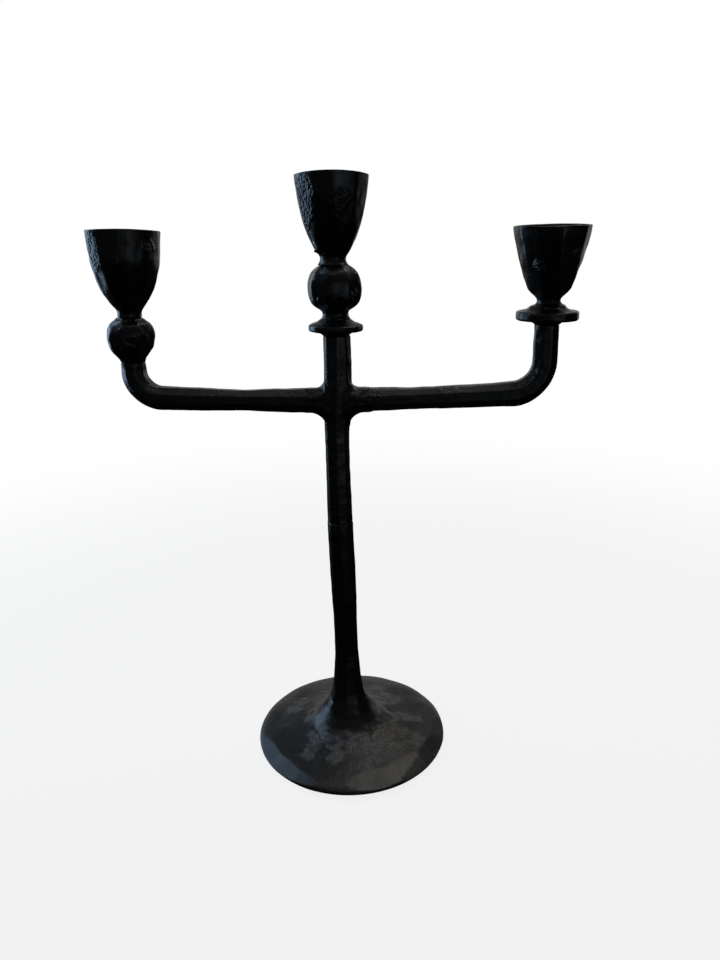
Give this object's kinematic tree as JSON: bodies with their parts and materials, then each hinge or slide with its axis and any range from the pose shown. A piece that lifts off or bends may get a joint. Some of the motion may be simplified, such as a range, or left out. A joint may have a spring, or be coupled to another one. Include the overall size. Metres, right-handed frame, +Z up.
{
  "type": "tabletop candelabra",
  "caption": "Free-standing black iron candelabra: round domed foot, eight-sided stem, two bent arms, and hammered tulip cups for taper candles on knops and drip discs.",
  "frame": {"origin": "on the table, under the stem's axis, in the plane of the felt that the candelabra rests on", "axes": "+Z up the stem; +X along the arm that ends in a plain drip disc, the one on the right as seen from the front; +Y to the back, square to the plane of the arms"},
  "size_m": [0.2833, 0.127, 0.3614],
  "materials": {
    "black_painted_iron": "satin black paint over rough cast and hammered iron",
    "zinc_plated_steel": "dull zinc plate",
    "black_felt": "pressed wool felt"
  },
  "bodies": {
    "root": {"foot": "black_painted_iron", "lower_stem": "black_painted_iron", "upper_stem": "black_painted_iron", "left_arm": "black_painted_iron", "right_arm": "black_painted_iron", "left_arm_weld": "black_painted_iron", "right_arm_weld": "black_painted_iron", "center_disc": "black_painted_iron", "right_disc": "black_painted_iron", "center_knop": "black_painted_iron", "left_knop": "black_painted_iron", "left_cup": "black_painted_iron", "center_cup": "black_painted_iron", "right_cup": "black_painted_iron", "foot_bolt": "zinc_plated_steel", "foot_washer": "zinc_plated_steel", "foot_spring_washer": "zinc_plated_steel", "stem_stud": "zinc_plated_steel", "left_cup_screw": "zinc_plated_steel", "left_cup_washer": "zinc_plated_steel", "center_cup_screw": "zinc_plated_steel", "center_cup_washer": "zinc_plated_steel", "right_cup_screw": "zinc_plated_steel", "right_cup_washer": "zinc_plated_steel", "felt_pad": "black_felt"}
  },
  "joints": []
}
